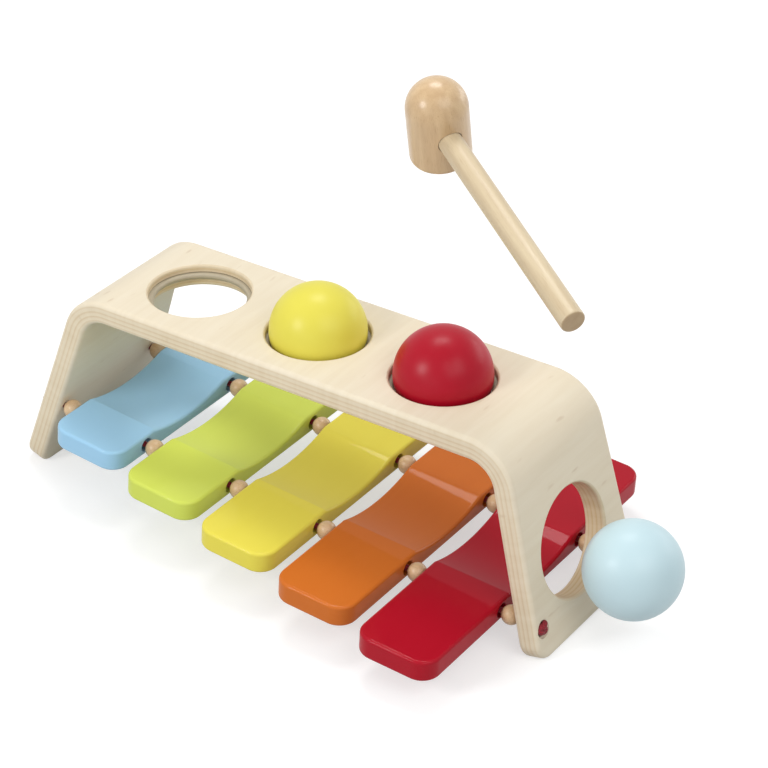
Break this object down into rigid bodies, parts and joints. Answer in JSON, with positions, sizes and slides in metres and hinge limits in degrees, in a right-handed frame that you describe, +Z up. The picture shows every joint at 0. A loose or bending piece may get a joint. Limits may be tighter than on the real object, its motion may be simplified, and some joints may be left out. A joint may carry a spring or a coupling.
{
  "type": "toy metallophone with pounding bench",
  "caption": "Bent plywood pounding bench over a sloping row of painted bars on cords, with balls pushed through rubber rings, a side exit hole and a loose mallet.",
  "frame": {"origin": "middle of the footprint box, on the floor", "axes": "+X along the bench towards the leg with the exit hole, -Y towards the players, +Z up"},
  "size_m": [0.3618, 0.195, 0.2617],
  "materials": {
    "birch_plywood": "clear matt lacquer on birch plywood",
    "ring_rubber": "soft pale rubber",
    "yellow_ball_paint": "gloss paint on wood",
    "red_ball_paint": "gloss paint on wood",
    "light_blue_ball_paint": "gloss paint on wood",
    "blue_bar_lacquer": "satin lacquer on wood",
    "green_bar_lacquer": "satin lacquer on wood",
    "yellow_bar_lacquer": "satin lacquer on wood",
    "orange_bar_lacquer": "satin lacquer on wood",
    "red_bar_lacquer": "satin lacquer on wood",
    "bead_beech": "plain turned beech",
    "cord_red": "braided elastic cord",
    "knot_red": "knotted elastic cord",
    "head_beech": "plain turned beech",
    "handle_birch": "plain turned birch"
  },
  "bodies": {
    "bench": {"bench": "birch_plywood", "left_ring": "ring_rubber", "middle_ring": "ring_rubber", "right_ring": "ring_rubber", "front_cord": "cord_red", "rear_cord": "cord_red", "front_left_knot": "knot_red", "front_right_knot": "knot_red", "rear_left_knot": "knot_red", "rear_right_knot": "knot_red", "front_bead_1": "bead_beech", "front_bead_2": "bead_beech", "front_bead_3": "bead_beech", "front_bead_4": "bead_beech", "front_bead_5": "bead_beech", "front_bead_6": "bead_beech", "rear_bead_1": "bead_beech", "rear_bead_2": "bead_beech", "rear_bead_3": "bead_beech", "rear_bead_4": "bead_beech", "rear_bead_5": "bead_beech", "rear_bead_6": "bead_beech"},
    "yellow_ball": {"yellow_ball": "yellow_ball_paint"},
    "red_ball": {"red_ball": "red_ball_paint"},
    "light_blue_ball": {"light_blue_ball": "light_blue_ball_paint"},
    "blue_bar": {"blue_bar": "blue_bar_lacquer"},
    "green_bar": {"green_bar": "green_bar_lacquer"},
    "yellow_bar": {"yellow_bar": "yellow_bar_lacquer"},
    "orange_bar": {"orange_bar": "orange_bar_lacquer"},
    "red_bar": {"red_bar": "red_bar_lacquer"},
    "mallet": {"mallet_head": "head_beech", "mallet_handle": "handle_birch"}
  },
  "joints": [
    {"name": "yellow_ball_push", "type": "slide", "parent": "bench", "child": "yellow_ball", "axis": [0, 0, -1], "range_m": [0, 0.057], "deforming": ["middle_ring"]},
    {"name": "red_ball_push", "type": "slide", "parent": "bench", "child": "red_ball", "axis": [0, 0, -1], "range_m": [0, 0.062], "deforming": ["right_ring"]},
    {"name": "light_blue_ball_roll", "type": "slide", "parent": "bench", "child": "light_blue_ball", "axis": [0.9973, 0, -0.0741], "range_m": [-0.249, 0]},
    {"name": "blue_bar_bounce", "type": "slide", "parent": "bench", "child": "blue_bar", "axis": [0.0933, 0, 0.9956], "range_m": [-0.002, 0.001], "stiffness_N_per_m": 600, "springref_m": 0.00047, "deforming": ["front_cord", "rear_cord"]},
    {"name": "green_bar_bounce", "type": "slide", "parent": "bench", "child": "green_bar", "axis": [0.0837, 0, 0.9965], "range_m": [-0.002, 0.001], "stiffness_N_per_m": 600, "springref_m": 0.00057, "deforming": ["front_cord", "rear_cord"]},
    {"name": "yellow_bar_bounce", "type": "slide", "parent": "bench", "child": "yellow_bar", "axis": [0.0741, 0, 0.9973], "range_m": [-0.002, 0.001], "stiffness_N_per_m": 600, "springref_m": 0.00066, "deforming": ["front_cord", "rear_cord"]},
    {"name": "orange_bar_bounce", "type": "slide", "parent": "bench", "child": "orange_bar", "axis": [0.0644, 0, 0.9979], "range_m": [-0.002, 0.001], "stiffness_N_per_m": 600, "springref_m": 0.00075, "deforming": ["front_cord", "rear_cord"]},
    {"name": "red_bar_bounce", "type": "slide", "parent": "bench", "child": "red_bar", "axis": [0.0548, 0, 0.9985], "range_m": [-0.002, 0.001], "stiffness_N_per_m": 600, "springref_m": 0.00085, "deforming": ["front_cord", "rear_cord"]},
    {"name": "mallet_strike", "type": "slide", "parent": "bench", "child": "mallet", "axis": [0, 0, -1], "range_m": [0, 0.083]}
  ]
}
